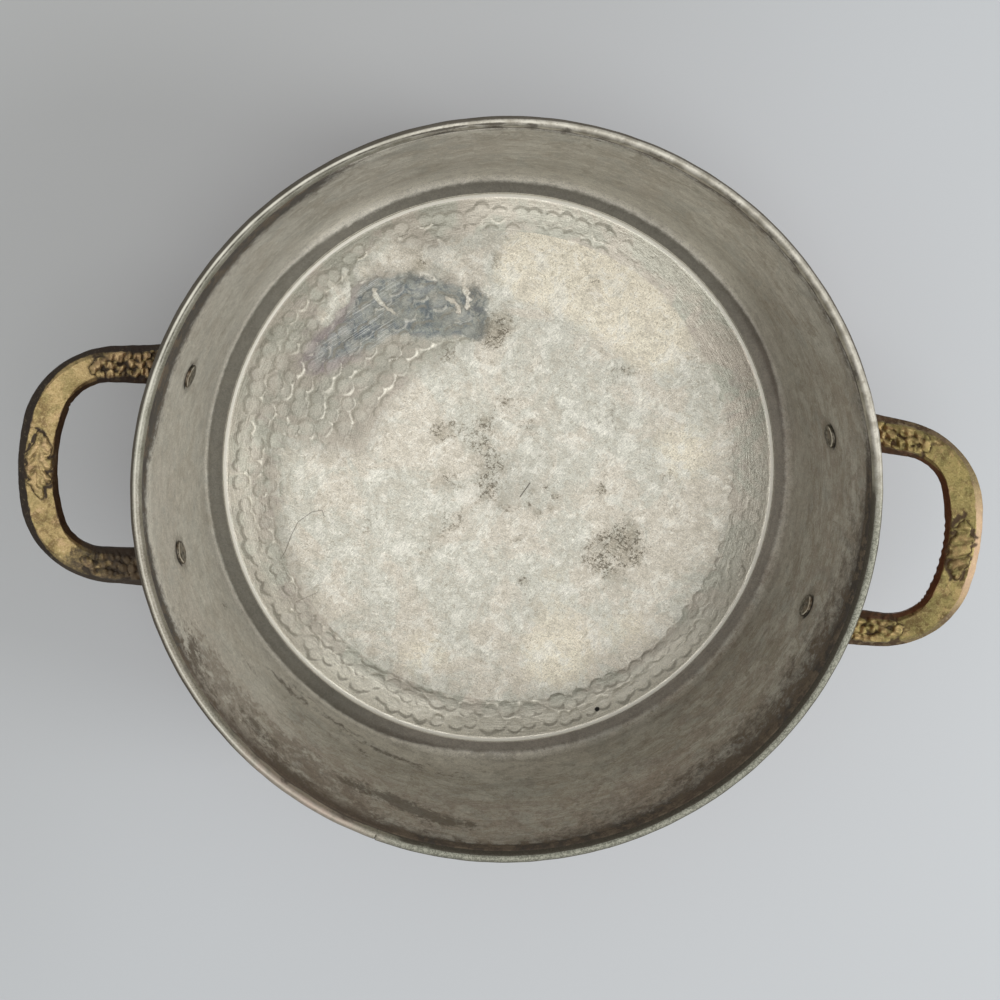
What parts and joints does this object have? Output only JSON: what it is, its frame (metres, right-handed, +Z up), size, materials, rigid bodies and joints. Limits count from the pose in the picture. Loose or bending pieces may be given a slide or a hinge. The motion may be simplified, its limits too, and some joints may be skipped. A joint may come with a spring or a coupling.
{
  "type": "cooking pot",
  "caption": "Shallow round tinned copper cooking pot with a rolled rim and a cast brass loop handle riveted on each side.",
  "frame": {"origin": "centre of the pot's underside, on the surface that it stands on", "axes": "+X through the middle of the right handle, +Z up along the pot's axis"},
  "size_m": [0.367, 0.28, 0.1],
  "materials": {
    "copper": "hammered copper sheet, aged to a dull brown with brighter pink metal on the rim",
    "tin": "worn hand-wiped tin, dull grey with brown stains and dark spots, hammer marks on the floor",
    "wire": "plain iron wire, closed in by the rim",
    "brass": "cast brass with raised leaf ornament, dark brown in the recesses and on the sides",
    "rivet": "copper rivet, tinned on the inner head, dull brown on the outer one"
  },
  "bodies": {
    "root": {"pot_body": "copper", "tin_lining": "tin", "rim_wire": "wire", "handle_right": "brass", "handle_left": "brass", "rivet_right_front": "rivet", "rivet_right_back": "rivet", "rivet_left_front": "rivet", "rivet_left_back": "rivet"}
  },
  "joints": []
}
